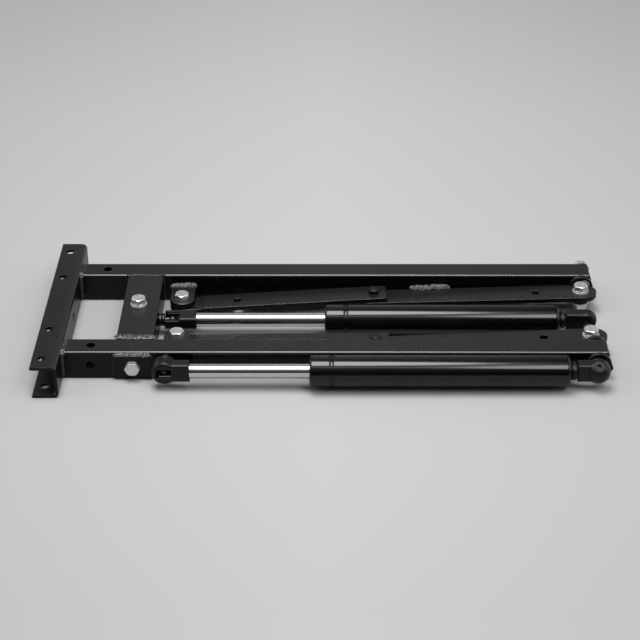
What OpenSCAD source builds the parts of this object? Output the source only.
// Bed lift mechanism: a welded lifting frame hinged at its far end to two base straps,
// with one gas strut between the rails and one beside the front rail.
// +X runs from the channel to the hinge, +Y to the rear rail, +Z up, millimetres.

/* [Rails] */
// Length of a rail to its nose
rail_length = 528.7; // [480:0.1:640]
// Width of a rail's box section
rail_w = 25; // [22:0.5:32]
// Height of a rail's box section
rail_h = 30; // [29:0.5:36]
// Wall of a rail
rail_wall = 2; // [1.5:0.1:2.5]
// Outer corner radius of a rail
rail_corner = 2.5; // [1.5:0.1:4]
// Clear gap between the two rails
rail_gap = 121; // [119:0.5:150]
// Slope of a rail's end above its nose
rail_bevel = 19; // [10:0.5:20]
// Slope of a rail's end below its nose
rail_undercut = 40; // [25:0.5:45]
// Height of a rail's nose
rail_nose_z = 11; // [9:0.1:12]
// Screw holes near the channel, from the rail's left end
rail_hole_in = 27; // [15:0.5:35]

/* [Channel] */
// Depth of the channel's flanges
channel_flange = 25; // [22:0.5:34]
// Height of the channel
channel_h = 34; // [31:0.5:40]
// Length of the channel
channel_len = 238; // [225:1:300]
// Thickness of the channel's steel
channel_t = 3; // [2:0.1:4]
// Outer bend radius of the channel
channel_bend = 5; // [4.5:0.1:7]
// Spacing of the outer pair of flange holes
channel_outer_pitch = 205; // [150:1:215]
// Spacing of the inner pair of flange holes
channel_inner_pitch = 100; // [50:1:120]
// Flange holes, from the free edge of the flange
channel_hole_in = 9.8; // [7:0.1:13]
// Diameter of every screw hole in the channel and the rails
screw_hole_d = 8.5; // [6:0.1:9]

/* [Crossbar and pad] */
// Width of the crossbar
crossbar_w = 36; // [30:0.5:50]
// Crossbar's near face, from the rail's left end
crossbar_in = 49.5; // [40:0.5:52]
// Wall of the crossbar
crossbar_wall = 2.5; // [2:0.1:4]
// Place of the crossbar's bolt across the frame
crossbar_bolt_y = 2.5; // [-20:0.5:30]
// Height of the welded pad
pad_h = 24; // [18:0.5:26]
// Thickness of the welded pad
pad_t = 3; // [2:0.1:4]

/* [Stop lugs] */
// Width of a lug
lug_w = 25; // [20:0.5:27]
// Reach of a lug from its rail
lug_reach = 37.5; // [30:0.5:38]
// Thickness of a lug
lug_t = 5; // [3:0.1:6]
// Height of a lug's underside
lug_z = 13; // [12.5:0.1:14.5]
// Lug's centre, from the rail's left end
lug_in = 106; // [104:0.5:115]

/* [Base straps] */
// Thickness of a strap
strap_t = 5; // [4:0.1:5.2]
// Width of the left half of a strap
left_strap_w = 25; // [20:0.5:26]
// Width of the right half of a strap
right_strap_w = 26; // [22:0.5:26]
// Rise of the straps towards the hinge
strap_slope = 2.1; // [1.8:0.05:2.3]
// Knee rivet, from the stop bolt along the strap
knee_along = 195; // [150:1:230]
// Knee rivet, from the rail's inner face
knee_in = 15.8; // [14:0.1:18]
// Overlap of each half past the knee rivet
knee_lap = 13; // [11:0.5:20]
// Centre of a strap's round far end, past the clamp bolt
strap_past = 3; // [0:0.1:4]
// Corner radius at the square ends of the straps
strap_corner = 3.5; // [1:0.1:6]
// Lowered tongue at the left end of a strap, from its stop bolt
tongue_len = 21; // [18:0.5:30]
// Diameter of the strap's screw holes
strap_hole_d = 8; // [5:0.1:9]
// Left screw hole, from the stop bolt
left_hole_along = 56; // [40:1:120]
// Right screw hole, from the hinge bolt
right_hole_back = 46; // [35:1:120]

/* [Hinge] */
// Hinge axis, back from the nose of the rails
hinge_back = 11.2; // [10.8:0.1:13]
// Height of the hinge axis
hinge_z = 21.5; // [20.5:0.1:22]
// Diameter of the hinge shafts
hinge_d = 10; // [8.5:0.1:10.5]
// Wall of the hinge bushes
bush_wall = 1; // [0.8:0.1:1.2]
// Radius of the brackets' ears and of the crank
ear_r = 12; // [11.5:0.1:13]
// Thickness of a bracket's leaf
leaf_t = 6; // [4:0.1:6.5]
// Thickness of the crank's web
crank_t = 4; // [3:0.1:5]
// Clamp bolts of the straps, from the rail's inner face
clamp_in = 18.5; // [18.5:0.1:20]

/* [Gas struts] */
// Diameter of the rods
rod_d = 14; // [10:0.5:14]
// Diameter of the cylinders
cylinder_d = 30; // [28:0.5:31]
// Wall of the cylinders
cylinder_wall = 2; // [1.5:0.1:2.5]
// Length of the front strut's cylinder
front_cylinder_len = 247; // [200:1:260]
// Length of the centre strut's cylinder
centre_cylinder_len = 233; // [200:1:260]
// Front strut's axis, out from the front rail
front_strut_out = 17; // [16.5:0.1:20]
// Height of the front strut's axis
front_strut_z = 20; // [18:0.1:20.2]
// Centre strut's axis across the frame
centre_strut_y = -4.3; // [-8:0.1:2]
// Height of the centre strut's axis
centre_strut_z = 16.5; // [16:0.1:18]
// Front strut's far ball, back from the hinge axis
front_ball_back = 7; // [5:0.1:7.5]
// Centre strut's far ball, back from the hinge axis
centre_ball_back = 6; // [4:0.1:7]
// Near balls of both struts, from the crossbar's far face
near_ball_out = 14; // [13.5:0.1:16]
// Diameter of the balls
ball_d = 8; // [7.2:0.1:8.5]
// Depth of the piston inside the cylinder at rest
piston_depth = 80; // [50:1:120]

/* [Hidden] */
$fn = 64;

// Clearances: turning shafts, seated pieces, faces that swing past each other, loose sockets
run_clear = 0.05;
seat_clear = 0.02;
side_clear = 0.5;
loose_clear = 1.3;

// Hexagon hardware of the 8 mm size
bolt_d = 8;
hex_af = 13;
hex_r = hex_af / 2 / cos(30);
hex_top_r = 0.95 * hex_af / 2;
hex_slope = 30;
head_h = 5.3;
flange_head_h = 4.6;
flange_r = 8.2;
nut_h = 6.5;
thin_nut_h = 4;
washer_r = 8.5;
washer_t = 1.6;
collar_h = 2;
collar_r = 5;
bolt_hole_d = bolt_d + 2 * seat_clear;
thread_out = 2;
rear_stop_turn = 25;
crossbar_turn = 30;
clamp_turn = 22;

// Stations along the frame
x_free = -(channel_flange + rail_length) / 2;
x_web = x_free + channel_flange;
x_tip = x_web + rail_length;
hinge_x = x_tip - hinge_back;
lug_x = x_web + lug_in;
crossbar_x0 = x_web + crossbar_in;
crossbar_x1 = crossbar_x0 + crossbar_w;
pad_x = (crossbar_x0 + crossbar_x1) / 2;
rail_hole_x = x_web + rail_hole_in;
crossbar_bolt_back = 1.6;
crossbar_bolt_x = pad_x - crossbar_bolt_back;

// Planes across the frame
y_in = rail_gap / 2;
y_out = y_in + rail_w;
y_rail = (y_in + y_out) / 2;
ear_gap = 0.4;
ear_y1 = y_in - side_clear;
clamp_y = y_in - clamp_in;
ear_y0 = clamp_y + right_strap_w / 2 + ear_gap;
lug_bolt_y = y_in - lug_reach + lug_w / 2;
knee_y = y_in - knee_in;
crank_y0 = y_out + side_clear;
crank_y1 = crank_y0 + crank_t;

// Straps lie on one slope that starts under the stop lugs
tongue_drop = 1;
lug_gap = 1.2;
strap_z = lug_z - lug_gap;
dowel_play = 0.75;
dowel_below = 5.5;
clamp_back = 6;
clamp_along = (hinge_x - clamp_back - lug_x) / cos(strap_slope);
left_yaw = atan((knee_y - lug_bolt_y) / knee_along);
left_run = knee_along / cos(left_yaw);
right_yaw = atan((clamp_y - knee_y) / (clamp_along - knee_along));
right_run = (clamp_along - knee_along) / cos(right_yaw);
lower_w = -2 * strap_t;
leaf_w = lower_w - leaf_t;
leaf_r = 8;
rivet_r = 5.5;
rivet_top = 5;
rivet_under = 1.5;
rivet_chamfer = 1.2;

// Ears, crank and the struts' far balls
ear_back = 3.65;
ear_drop = 3.2;
ear_x = hinge_x - ear_back;
ear_z = hinge_z - ear_drop;
centre_far_x = hinge_x - centre_ball_back;
front_far_x = hinge_x - front_ball_back;
inner_ear_gap = 0.2;
inner_ear_y1 = clamp_y - right_strap_w / 2 - inner_ear_gap;
inner_ear_t = 4.5;
inner_ear_y0 = inner_ear_y1 - inner_ear_t;
inner_ear_r = 7;
bridge_half = 5;
bridge_lap = 1;
stud_seat = 3;
stud_seat_y = inner_ear_y0 + stud_seat;
stud_flange_t = 3;
stud_thread = 1;
frame_flange_r = 8;
base_flange_r = 6;

// Struts
near_x = crossbar_x1 + near_ball_out;
front_y = -(y_out + front_strut_out);
ball_r = ball_d / 2;
neck_r = 2.6;
rod_r = rod_d / 2;
cylinder_r = cylinder_d / 2;
bore_r = cylinder_r - cylinder_wall;
cylinder_end_gap = 33.3;
centre_x1 = hinge_x - cylinder_end_gap;
front_x1 = hinge_x - cylinder_end_gap;
centre_x0 = centre_x1 - centre_cylinder_len;
front_x0 = front_x1 - front_cylinder_len;
lip = 2;
guide_len = 14;
seal_len = 5;
groove_in = 20;
groove_w = 2;
groove_deep = 0.7;
plug_len = 10;
plug_neck_r = 6.5;
neck_ring_in = 1.8;
neck_ring_w = 3.8;
neck_ring_r = 9;
end_round = 4;
lip_clear = 1.5;
mouth_round = 2.5;
spigot_clear = 0.5;
spigot_r = 5;
spigot_len = 11;
piston_len = 12;
piston_gap = 0.3;
piston_spigot_r = 4;
ring_w = 3;
ring_deep = 2;
socket_neck_gap = 7.3;

// Sockets: a block, thin across its open face, and a head round the ball
block_thin = 6.5;
block_wide = 9.5;
block_edge = 3;
rod_block = 24;
head_r = 12;
centre_head_r = 10.5;
head_stretch = 0.5;
head_back = 8;
head_edge = 3;
rim_groove = 0.8;
rim_deep = 0.5;
far_mouth_gap = 0.5;
far_mouth_r = neck_r + far_mouth_gap;
mouth_out = 7.5;
mouth_gap = 0.7;
mouth_r = neck_r + loose_clear + mouth_gap;
window_back = 7.5;
window_out = 7;
window_half = 5;
sill_up = 3.5;

// Eyelets in the far heads, and the wires that keep the near balls in
eye_tilt = 36;
eye_r = 4.4;
eye_hole_r = 2.1;
eye_floor = 4.2;
eye_seat = ball_r + eye_floor;
eye_proud = 0.4;
clip_r = 0.9;
clip_in = 1.5;
clip_side = 3.2;
clip_back = 5;
clip_seat = 3;

/* Shared shapes */

module round_rect(w, h, r) {
    translate([-w / 2, r]) square([w, h - 2 * r]);
    translate([-w / 2 + r, 0]) square([w - 2 * r, h]);
    for (x = [-w / 2 + r, w / 2 - r], y = [r, h - r])
        translate([x, y]) circle(r);
}

module box_section(w, h, wall, r) {
    difference() {
        round_rect(w, h, r);
        translate([0, wall]) round_rect(w - 2 * wall, h - 2 * wall, max(r - wall, 0.5));
    }
}

module y_rod(x, z, y0, y1, r) {
    translate([x, y0, z]) rotate([-90, 0, 0]) cylinder(h = y1 - y0, r = r);
}

module x_rod(x0, x1, y, z, r) {
    translate([x0, y, z]) rotate([0, 90, 0]) cylinder(h = x1 - x0, r = r);
}

module on_side(side) {
    if (side < 0) mirror([0, 1, 0]) children();
    else children();
}

module on_slope() {
    translate([lug_x, 0, strap_z]) rotate([0, -strap_slope, 0]) children();
}

// Hexagon with the corners of its top turned off
module hex_body(h) {
    intersection() {
        cylinder(h = h, r = hex_r, $fn = 6);
        cylinder(h = h, r1 = hex_top_r + h / tan(hex_slope), r2 = hex_top_r);
    }
}

module hex_bolt(len, turn = 0) {
    translate([0, 0, -len]) cylinder(h = len, r = bolt_d / 2);
    rotate([0, 0, turn]) hex_body(head_h);
}

// Bolt whose head stands on a collar above a wide flange
module flange_bolt(len, turn = 0) {
    translate([0, 0, -len]) cylinder(h = len, r = bolt_d / 2);
    cylinder(h = washer_t, r = flange_r);
    cylinder(h = washer_t + collar_h, r = collar_r);
    translate([0, 0, washer_t + collar_h]) rotate([0, 0, turn]) hex_body(flange_head_h);
}

module hex_nut(h) {
    difference() {
        hex_body(h);
        translate([0, 0, -1]) cylinder(h = h + 2, d = bolt_hole_d);
    }
}

module washer() {
    difference() {
        cylinder(h = washer_t, r = washer_r);
        translate([0, 0, -1]) cylinder(h = washer_t + 2, d = bolt_hole_d);
    }
}

/* Lifting frame */

module mounting_channel() {
    color([0.07, 0.07, 0.07]) difference() {
        translate([x_free, channel_len / 2, 0]) rotate([90, 0, 0]) linear_extrude(channel_len) difference() {
            round_rect(2 * channel_flange, channel_h, channel_bend);
            translate([0, channel_t])
                round_rect(2 * (channel_flange - channel_t), channel_h - 2 * channel_t, channel_bend - channel_t);
            translate([-2 * channel_flange, -1]) square([2 * channel_flange, channel_h + 2]);
        }
        for (y = [-1, 1] * channel_outer_pitch / 2)
            translate([x_free + channel_hole_in, y, -1]) cylinder(h = channel_h + 2, d = screw_hole_d);
        for (y = [-1, 1] * channel_inner_pitch / 2)
            translate([x_free + channel_hole_in, y, -1]) cylinder(h = channel_h + 2, d = screw_hole_d);
        x_rod(x_web - channel_t - 1, x_web + 1, 0, channel_h / 2, screw_hole_d / 2);
    }
}

// What is sawn off a rail's far end: a slope above the nose and an undercut below it
module end_cut() {
    rotate([90, 0, 0]) linear_extrude(2 * rail_w, center = true)
        polygon([[0, 0], [-rail_h * tan(rail_bevel), rail_h], [rail_h, rail_h], [rail_h, -rail_h],
            [-rail_h * tan(rail_undercut), -rail_h]]);
}

module rail(side) {
    color([0.07, 0.07, 0.07]) difference() {
        translate([x_web, side * y_rail, 0]) rotate([90, 0, 90]) linear_extrude(rail_length + 1)
            box_section(rail_w, rail_h, rail_wall, rail_corner);
        translate([x_tip, side * y_rail, rail_nose_z]) end_cut();
        translate([rail_hole_x, side * y_rail, -1]) cylinder(h = rail_h + 2, d = screw_hole_d);
        y_rod(hinge_x, hinge_z, side * y_rail - rail_w, side * y_rail + rail_w,
            hinge_d / 2 + bush_wall + seat_clear);
        if (side < 0) {
            y_rod(rail_hole_x, rail_h / 2, -y_out - 1, -y_rail, screw_hole_d / 2);
            y_rod(pad_x, rail_h / 2, -y_out - 1, -y_rail, bolt_hole_d / 2);
            y_rod(near_x, front_strut_z, -y_out - 1, -y_rail, bolt_hole_d / 2);
        }
    }
}

module rear_rail() { rail(1); }
module front_rail() { rail(-1); }

module crossbar() {
    color([0.07, 0.07, 0.07]) difference() {
        translate([pad_x, y_in, 0]) rotate([90, 0, 0]) linear_extrude(rail_gap)
            box_section(crossbar_w, rail_h, crossbar_wall, rail_corner);
        translate([crossbar_bolt_x, crossbar_bolt_y, rail_h / 2]) cylinder(h = rail_h, d = bolt_hole_d);
        x_rod(pad_x, crossbar_x1 + 1, centre_strut_y, centre_strut_z, bolt_hole_d / 2);
    }
}

module side_pad() {
    color([0.07, 0.07, 0.07]) difference() {
        translate([crossbar_x0, -y_out - pad_t, (rail_h - pad_h) / 2]) cube([crossbar_w, pad_t, pad_h]);
        y_rod(pad_x, rail_h / 2, -y_out - pad_t - 1, -y_out + 1, bolt_hole_d / 2);
    }
}

module stop_lug(side) {
    color([0.07, 0.07, 0.07]) on_side(side) translate([lug_x, 0, lug_z]) difference() {
        union() {
            translate([0, lug_bolt_y, 0]) cylinder(h = lug_t, r = lug_w / 2);
            translate([-lug_w / 2, lug_bolt_y, 0]) cube([lug_w, y_in - lug_bolt_y, lug_t]);
        }
        translate([0, lug_bolt_y, -1]) cylinder(h = lug_t + 2, d = bolt_hole_d);
    }
}

module rear_stop_lug() { stop_lug(1); }
module front_stop_lug() { stop_lug(-1); }

module stop_bolts() {
    color([0.75, 0.76, 0.78])
        for (side = [-1, 1])
            translate([lug_x, side * lug_bolt_y, lug_z + lug_t])
                hex_bolt(lug_t + dowel_below, side > 0 ? rear_stop_turn : 0);
}

module crossbar_bolt() {
    color([0.75, 0.76, 0.78]) translate([crossbar_bolt_x, crossbar_bolt_y, rail_h])
        flange_bolt(crossbar_wall + nut_h + thread_out, crossbar_turn);
}

module pad_bolt() {
    color([0.75, 0.76, 0.78]) translate([pad_x, -y_out - pad_t, rail_h / 2]) rotate([90, 0, 0])
        hex_bolt(pad_t + rail_wall + nut_h + thread_out);
}

module frame_nuts() {
    color([0.75, 0.76, 0.78]) {
        translate([crossbar_bolt_x, crossbar_bolt_y, rail_h - crossbar_wall - nut_h]) hex_nut(nut_h);
        translate([pad_x, -y_out + rail_wall, rail_h / 2]) rotate([-90, 0, 0]) hex_nut(nut_h);
        translate([near_x, -y_out + rail_wall, front_strut_z]) rotate([-90, 0, 0]) hex_nut(nut_h);
    }
}

module hinge_bushes() {
    color([0.62, 0.45, 0.22])
        for (side = [-1, 1]) difference() {
            y_rod(hinge_x, hinge_z, side * y_rail - rail_w / 2, side * y_rail + rail_w / 2, hinge_d / 2 + bush_wall);
            y_rod(hinge_x, hinge_z, side * y_rail - rail_w, side * y_rail + rail_w, hinge_d / 2 + run_clear);
        }
}

module centre_frame_stud() {
    color([0.75, 0.76, 0.78]) {
        x_rod(crossbar_x1 - crossbar_wall - nut_h, crossbar_x1 + thin_nut_h + stud_thread, centre_strut_y, centre_strut_z,
            bolt_d / 2);
        x_rod(crossbar_x1 + thin_nut_h, near_x, centre_strut_y, centre_strut_z, neck_r);
        translate([near_x, centre_strut_y, centre_strut_z]) sphere(ball_r);
    }
}

module centre_stud_nut() {
    color([0.75, 0.76, 0.78]) translate([crossbar_x1, centre_strut_y, centre_strut_z]) rotate([0, 90, 0])
        hex_nut(thin_nut_h);
}

module front_frame_stud() {
    color([0.75, 0.76, 0.78]) {
        y_rod(near_x, front_strut_z, -y_out, -y_out + rail_wall + nut_h + thread_out, bolt_d / 2);
        y_rod(near_x, front_strut_z, -y_out - stud_flange_t, -y_out, frame_flange_r);
        y_rod(near_x, front_strut_z, front_y, -y_out - stud_flange_t, neck_r);
        translate([near_x, front_y, front_strut_z]) sphere(ball_r);
    }
}

/* Base straps and hinge */

// Flat strap with a round end at the origin and two rounded corners at its other end
module strap_blank(len, w) {
    linear_extrude(strap_t) {
        circle(w / 2);
        translate([0, -w / 2]) square([len - strap_corner, w]);
        translate([0, strap_corner - w / 2]) square([len, w - 2 * strap_corner]);
        for (edge = [-1, 1]) translate([len - strap_corner, edge * (w / 2 - strap_corner)]) circle(strap_corner);
    }
}

module left_strap(side) {
    color([0.08, 0.08, 0.08]) on_side(side) on_slope() translate([0, lug_bolt_y, 0]) rotate([0, 0, left_yaw])
        difference() {
            translate([0, 0, -strap_t]) strap_blank(left_run + knee_lap, left_strap_w);
            translate([-left_strap_w, -left_strap_w, -tongue_drop])
                cube([left_strap_w + tongue_len, 2 * left_strap_w, 2 * tongue_drop]);
            translate([0, 0, -2 * strap_t]) cylinder(h = 3 * strap_t, r = bolt_d / 2 + dowel_play);
            translate([left_hole_along, 0, -2 * strap_t]) cylinder(h = 3 * strap_t, d = strap_hole_d);
            translate([left_run, 0, -2 * strap_t]) cylinder(h = 3 * strap_t, d = bolt_hole_d);
        }
}

module rear_left_strap() { left_strap(1); }
module front_left_strap() { left_strap(-1); }

module right_strap(side) {
    color([0.08, 0.08, 0.08]) on_side(side) on_slope() translate([knee_along, knee_y, lower_w])
        rotate([0, 0, right_yaw]) difference() {
            translate([right_run + strap_past, 0, 0]) rotate([0, 0, 180])
                strap_blank(right_run + strap_past + knee_lap, right_strap_w);
            translate([0, 0, -strap_t]) cylinder(h = 3 * strap_t, d = bolt_hole_d);
            translate([right_run - right_hole_back, 0, -strap_t]) cylinder(h = 3 * strap_t, d = strap_hole_d);
            translate([right_run, 0, -strap_t]) cylinder(h = 3 * strap_t, d = bolt_hole_d);
        }
}

module rear_right_strap() { right_strap(1); }
module front_right_strap() { right_strap(-1); }

module knee_rivets() {
    color([0.1, 0.1, 0.1])
        for (side = [-1, 1]) on_side(side) on_slope() translate([knee_along, knee_y, lower_w]) {
            translate([0, 0, -rivet_under]) cylinder(h = rivet_under, r = rivet_r);
            cylinder(h = 2 * strap_t, r = bolt_d / 2);
            translate([0, 0, 2 * strap_t]) cylinder(h = rivet_top - rivet_chamfer, r = rivet_r);
            translate([0, 0, 2 * strap_t + rivet_top - rivet_chamfer])
                cylinder(h = rivet_chamfer, r1 = rivet_r, r2 = rivet_r - rivet_chamfer);
        }
}

module hinge_bracket(side) {
    color([0.07, 0.07, 0.07]) on_side(side) difference() {
        union() {
            on_slope() translate([clamp_along, 0, leaf_w]) {
                translate([0, clamp_y, 0]) cylinder(h = leaf_t, r = leaf_r);
                translate([-right_strap_w / 2, clamp_y, 0]) cube([right_strap_w, ear_y1 - clamp_y, leaf_t]);
                if (side < 0)
                    translate([-bridge_half, inner_ear_y0 + bridge_lap, 0])
                        cube([2 * bridge_half, clamp_y - inner_ear_y0 - bridge_lap, leaf_t]);
            }
            y_rod(ear_x, ear_z, ear_y0, ear_y1, ear_r);
            if (side < 0) y_rod(centre_far_x, centre_strut_z, inner_ear_y0, inner_ear_y1, inner_ear_r);
        }
        on_slope() translate([clamp_along, clamp_y, leaf_w - 1]) cylinder(h = leaf_t + 2, d = bolt_hole_d);
        y_rod(hinge_x, hinge_z, ear_y0 - 1, ear_y1 + 1, hinge_d / 2 + seat_clear);
        if (side < 0)
            y_rod(centre_far_x, centre_strut_z, inner_ear_y0 - 1, stud_seat_y, bolt_hole_d / 2);
    }
}

module rear_hinge_bracket() { hinge_bracket(1); }
module front_hinge_bracket() { hinge_bracket(-1); }

module strap_bolts() {
    color([0.75, 0.76, 0.78])
        for (side = [-1, 1]) on_side(side) on_slope() translate([clamp_along, clamp_y, -strap_t])
            flange_bolt(strap_t + leaf_t + washer_t + nut_h + thread_out / 2, -side * clamp_turn);
}

module strap_washers() {
    color([0.75, 0.76, 0.78])
        for (side = [-1, 1]) on_side(side) on_slope() translate([clamp_along, clamp_y, leaf_w - washer_t]) washer();
}

module strap_nuts() {
    color([0.75, 0.76, 0.78])
        for (side = [-1, 1]) on_side(side) on_slope()
            translate([clamp_along, clamp_y, leaf_w - washer_t - nut_h]) hex_nut(nut_h);
}

module rear_hinge_shaft() {
    color([0.75, 0.76, 0.78]) {
        y_rod(hinge_x, hinge_z, ear_y0, crank_y0, hinge_d / 2);
        y_rod(hinge_x, hinge_z, crank_y0, crank_y0 + washer_t + nut_h + thread_out, bolt_d / 2);
    }
}

module rear_hinge_washer() {
    color([0.75, 0.76, 0.78]) translate([hinge_x, crank_y0, hinge_z]) rotate([-90, 0, 0]) washer();
}

module rear_hinge_nut() {
    color([0.75, 0.76, 0.78]) translate([hinge_x, crank_y0 + washer_t, hinge_z]) rotate([-90, 0, 0]) hex_nut(nut_h);
}

module front_crank_shaft() {
    color([0.1, 0.1, 0.1]) {
        y_rod(hinge_x, hinge_z, -crank_y0, -ear_y0, hinge_d / 2);
        y_rod(ear_x, ear_z, -crank_y1, -crank_y0, ear_r);
        y_rod(front_far_x, front_strut_z, front_y, -crank_y1, neck_r);
        translate([front_far_x, front_y, front_strut_z]) sphere(ball_r);
    }
}

module centre_base_stud() {
    color([0.75, 0.76, 0.78]) {
        y_rod(centre_far_x, centre_strut_z, -stud_seat_y, -inner_ear_y0, bolt_d / 2);
        y_rod(centre_far_x, centre_strut_z, -inner_ear_y0, -inner_ear_y0 + stud_flange_t, base_flange_r);
        y_rod(centre_far_x, centre_strut_z, -inner_ear_y0 + stud_flange_t, centre_strut_y, neck_r);
        translate([centre_far_x, centre_strut_y, centre_strut_z]) sphere(ball_r);
    }
}

/* Gas strut pieces, drawn on the X axis and set on each strut's own line */

module on_strut(y, z) {
    translate([0, y, z]) children();
}

// What the rounding of an end takes off, on the profile of the cylinder or of its plug
module end_corner(r) {
    translate([cylinder_r - r, -r]) difference() {
        square(r + 1);
        circle(r);
    }
}

module tube_shell(x0, x1) {
    translate([x0, 0, 0]) rotate([0, 90, 0]) rotate_extrude() difference() {
        square([cylinder_r, x1 - x0]);
        translate([-1, -1]) square([rod_r + lip_clear + 1, x1 - x0 + 2]);
        translate([-1, lip]) square([bore_r + 1, x1 - x0]);
        translate([cylinder_r - groove_deep, groove_in]) square([groove_deep + 1, groove_w]);
        mirror([0, 1]) end_corner(mouth_round);
        translate([0, x1 - x0]) end_corner(end_round);
    }
}

module ring(x0, x1, r_out, r_in) {
    difference() {
        x_rod(x0, x1, 0, 0, r_out);
        x_rod(x0 - 1, x1 + 1, 0, 0, r_in);
    }
}

// Plug in the closed end, with a ringed neck and the spigot of the far socket
module end_plug(x1) {
    translate([x1, 0, 0]) rotate([0, 90, 0]) rotate_extrude() difference() {
        union() {
            translate([0, -plug_len]) square([bore_r - seat_clear, plug_len]);
            square([plug_neck_r, socket_neck_gap]);
            translate([0, neck_ring_in]) square([neck_ring_r, neck_ring_w]);
            translate([0, socket_neck_gap]) square([spigot_r, spigot_len]);
        }
        end_corner(end_round);
    }
}

module strut_rod(block_x, piston_x) {
    x_rod(block_x - spigot_len, block_x, 0, 0, spigot_r);
    x_rod(block_x, piston_x, 0, 0, rod_r);
    x_rod(piston_x, piston_x + piston_len + thread_out, 0, 0, piston_spigot_r);
}

module strut_piston(piston_x) {
    mid = piston_x + piston_len / 2;
    difference() {
        x_rod(piston_x, piston_x + piston_len, 0, 0, bore_r - piston_gap);
        x_rod(piston_x - 1, piston_x + piston_len + 1, 0, 0, piston_spigot_r + seat_clear);
        difference() {
            x_rod(mid - ring_w / 2, mid + ring_w / 2, 0, 0, bore_r + 1);
            x_rod(mid - ring_w, mid + ring_w, 0, 0, bore_r - ring_deep);
        }
    }
}

module strut_piston_ring(piston_x) {
    mid = piston_x + piston_len / 2;
    ring(mid - ring_w / 2 + seat_clear, mid + ring_w / 2 - seat_clear, bore_r - run_clear, bore_r - ring_deep + seat_clear);
}

// Bar of a socket along the strut, its two sides this far from the axis
module socket_bar(x0, x1, half_y, half_z) {
    translate([x0, 0, -half_z]) rotate([90, 0, 90]) linear_extrude(x1 - x0)
        round_rect(2 * half_y, 2 * half_z, block_edge);
}

module on_eye(ball_x, away) {
    translate([ball_x, 0, 0]) rotate([-away * eye_tilt, 0, 0]) children();
}

// Ball-shaped head, cut flat on its upper side
module dome(r) {
    rotate_extrude() intersection() {
        circle(r);
        translate([0, -r]) square([r, r + block_thin]);
    }
}

// Far socket: a domed head round the ball, flat and open on the side of the stud
module end_socket(socket_x, ball_x, r, stud_side) {
    difference() {
        union() {
            translate([ball_x + head_stretch, 0, 0]) rotate([-90 * stud_side, 0, 0]) dome(r);
            socket_bar(socket_x, ball_x, block_thin, block_wide);
        }
        translate([ball_x, 0, 0]) sphere(ball_r + run_clear);
        y_rod(ball_x, 0, stud_side < 0 ? -2 * r : 0, stud_side < 0 ? 0 : 2 * r, far_mouth_r);
        x_rod(socket_x - 1, socket_x + spigot_len + spigot_clear, 0, 0, spigot_r + seat_clear);
        on_eye(ball_x, -stud_side) translate([0, 0, eye_seat]) cylinder(h = r, r = eye_r + seat_clear);
    }
}

// Eyelet let into the dome, on the side away from the stud
module end_eyelet(ball_x, r, stud_side) {
    rim = sqrt(r * r - eye_r * eye_r) + eye_proud;
    on_eye(ball_x, -stud_side) difference() {
        translate([0, 0, eye_seat]) cylinder(h = rim - eye_seat, r = eye_r);
        translate([0, 0, eye_seat - 1]) cylinder(h = rim - eye_seat + 2, r = eye_hole_r);
    }
}

function block_end(x) = x + rod_block;

// What every near socket has cut out of it, with its window turned up
module near_socket_cuts(window_x0) {
    translate([near_x, 0, 0]) sphere(ball_r + loose_clear);
    translate([window_x0, -window_half, 0])
        cube([near_x + window_out - window_x0, 2 * window_half, 2 * block_thin]);
    x_rod(block_end(near_x) - spigot_len - spigot_clear, block_end(near_x) + 1, 0, 0, spigot_r + seat_clear);
    x_rod(near_x, near_x + window_out + clip_seat, clip_side, block_thin - clip_in, clip_r + seat_clear);
}

// Wire beside the ball, held in the end of the window
module near_clip() {
    x_rod(near_x - clip_back, near_x + window_out + clip_seat, clip_side, block_thin - clip_in, clip_r);
}

/* Centre strut */

module centre_cylinder() {
    color([0.04, 0.04, 0.04]) on_strut(centre_strut_y, centre_strut_z) tube_shell(centre_x0, centre_x1);
}

module centre_guide() {
    color([0.2, 0.2, 0.2]) on_strut(centre_strut_y, centre_strut_z)
        ring(centre_x0 + lip, centre_x0 + lip + guide_len, bore_r - seat_clear, rod_r + run_clear);
}

module centre_seal() {
    color([0.05, 0.05, 0.05]) on_strut(centre_strut_y, centre_strut_z)
        ring(centre_x0 + lip + guide_len, centre_x0 + lip + guide_len + seal_len, bore_r - seat_clear, rod_r + run_clear);
}

module centre_end_plug() {
    color([0.05, 0.05, 0.05]) on_strut(centre_strut_y, centre_strut_z)
        end_plug(centre_x1);
}

module centre_end_socket() {
    color([0.05, 0.05, 0.05]) on_strut(centre_strut_y, centre_strut_z)
        end_socket(centre_x1 + socket_neck_gap, centre_far_x, centre_head_r, -1);
}

module centre_end_eyelet() {
    color([0.6, 0.6, 0.6]) on_strut(centre_strut_y, centre_strut_z)
        end_eyelet(centre_far_x, centre_head_r, -1);
}

module centre_rod() {
    color([0.85, 0.86, 0.88]) on_strut(centre_strut_y, centre_strut_z)
        strut_rod(block_end(near_x), centre_x0 + piston_depth);
}

module centre_piston() {
    color([0.6, 0.6, 0.6]) on_strut(centre_strut_y, centre_strut_z) strut_piston(centre_x0 + piston_depth);
}

module centre_piston_ring() {
    color([0.05, 0.05, 0.05]) on_strut(centre_strut_y, centre_strut_z) strut_piston_ring(centre_x0 + piston_depth);
}

// Near socket of the centre strut: a bar with its window turned up and its mouth in its end
module centre_rod_socket() {
    color([0.05, 0.05, 0.05]) on_strut(centre_strut_y, centre_strut_z) difference() {
        socket_bar(near_x - mouth_out, block_end(near_x), block_wide, block_thin);
        near_socket_cuts(near_x - mouth_out - 1);
        translate([near_x - mouth_out - 1, -block_wide - 1, sill_up])
            cube([mouth_out + window_out + 1, block_wide + 1, block_thin]);
        x_rod(near_x - mouth_out - 1, near_x, 0, 0, mouth_r);
    }
}

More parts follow.
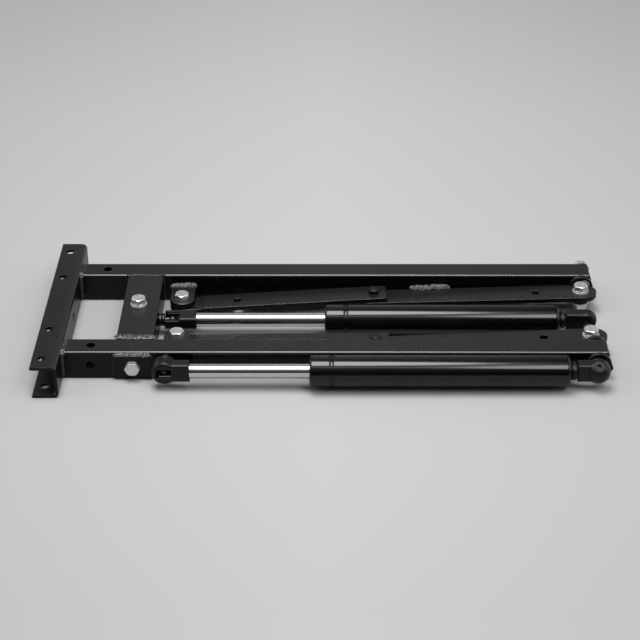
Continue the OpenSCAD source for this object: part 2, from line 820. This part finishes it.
module centre_rod_clip() {
    color([0.6, 0.6, 0.6]) on_strut(centre_strut_y, centre_strut_z) near_clip();
}

/* Front strut */

module front_cylinder() {
    color([0.04, 0.04, 0.04]) on_strut(front_y, front_strut_z) tube_shell(front_x0, front_x1);
}

module front_guide() {
    color([0.2, 0.2, 0.2]) on_strut(front_y, front_strut_z)
        ring(front_x0 + lip, front_x0 + lip + guide_len, bore_r - seat_clear, rod_r + run_clear);
}

module front_seal() {
    color([0.05, 0.05, 0.05]) on_strut(front_y, front_strut_z)
        ring(front_x0 + lip + guide_len, front_x0 + lip + guide_len + seal_len, bore_r - seat_clear, rod_r + run_clear);
}

module front_end_plug() {
    color([0.05, 0.05, 0.05]) on_strut(front_y, front_strut_z) end_plug(front_x1);
}

module front_end_socket() {
    color([0.05, 0.05, 0.05]) on_strut(front_y, front_strut_z)
        end_socket(front_x1 + socket_neck_gap, front_far_x, head_r, 1);
}

module front_end_eyelet() {
    color([0.6, 0.6, 0.6]) on_strut(front_y, front_strut_z)
        end_eyelet(front_far_x, head_r, 1);
}

module front_rod() {
    color([0.85, 0.86, 0.88]) on_strut(front_y, front_strut_z)
        strut_rod(block_end(near_x), front_x0 + piston_depth);
}

module front_piston() {
    color([0.6, 0.6, 0.6]) on_strut(front_y, front_strut_z) strut_piston(front_x0 + piston_depth);
}

module front_piston_ring() {
    color([0.05, 0.05, 0.05]) on_strut(front_y, front_strut_z) strut_piston_ring(front_x0 + piston_depth);
}

// Round head of the front strut's near socket, its outer edge rounded and its inner rim grooved
module near_head() {
    rotate_extrude() difference() {
        union() {
            translate([0, -head_back]) square([head_r - head_edge, head_back + block_thin]);
            translate([0, -head_back]) square([head_r, head_back + block_thin - head_edge]);
            translate([head_r - head_edge, block_thin - head_edge]) circle(head_edge);
        }
        translate([-head_r, -head_back - 1]) square([head_r, 2 * head_r]);
        for (k = [1, 3]) translate([head_r - rim_deep, k * rim_groove - head_back]) square([1, rim_groove]);
    }
}

// Turns a socket's window from above to the outer side, and its wire to the lower half
module turned_out() {
    rotate([90, 0, 0]) mirror([0, 1, 0]) children();
}

// Near socket of the front strut: its window is turned out and its mouth faces the rail
module front_rod_socket() {
    color([0.05, 0.05, 0.05]) on_strut(front_y, front_strut_z) turned_out() difference() {
        union() {
            translate([near_x, 0, 0]) near_head();
            socket_bar(near_x, block_end(near_x), block_wide, block_thin);
        }
        near_socket_cuts(near_x - window_back);
        translate([near_x, 0, -head_back - 1]) cylinder(h = head_back + 1, r = mouth_r);
    }
}

module front_rod_clip() {
    color([0.6, 0.6, 0.6]) on_strut(front_y, front_strut_z) turned_out() near_clip();
}

mounting_channel();
rear_rail();
front_rail();
crossbar();
side_pad();
rear_stop_lug();
front_stop_lug();
stop_bolts();
crossbar_bolt();
pad_bolt();
frame_nuts();
hinge_bushes();
centre_frame_stud();
centre_stud_nut();
front_frame_stud();
rear_left_strap();
rear_right_strap();
front_left_strap();
front_right_strap();
knee_rivets();
rear_hinge_bracket();
front_hinge_bracket();
strap_bolts();
strap_washers();
strap_nuts();
rear_hinge_shaft();
rear_hinge_washer();
rear_hinge_nut();
front_crank_shaft();
centre_base_stud();
centre_cylinder();
centre_guide();
centre_seal();
centre_end_plug();
centre_end_socket();
centre_end_eyelet();
centre_rod();
centre_piston();
centre_piston_ring();
centre_rod_socket();
centre_rod_clip();
front_cylinder();
front_guide();
front_seal();
front_end_plug();
front_end_socket();
front_end_eyelet();
front_rod();
front_piston();
front_piston_ring();
front_rod_socket();
front_rod_clip();
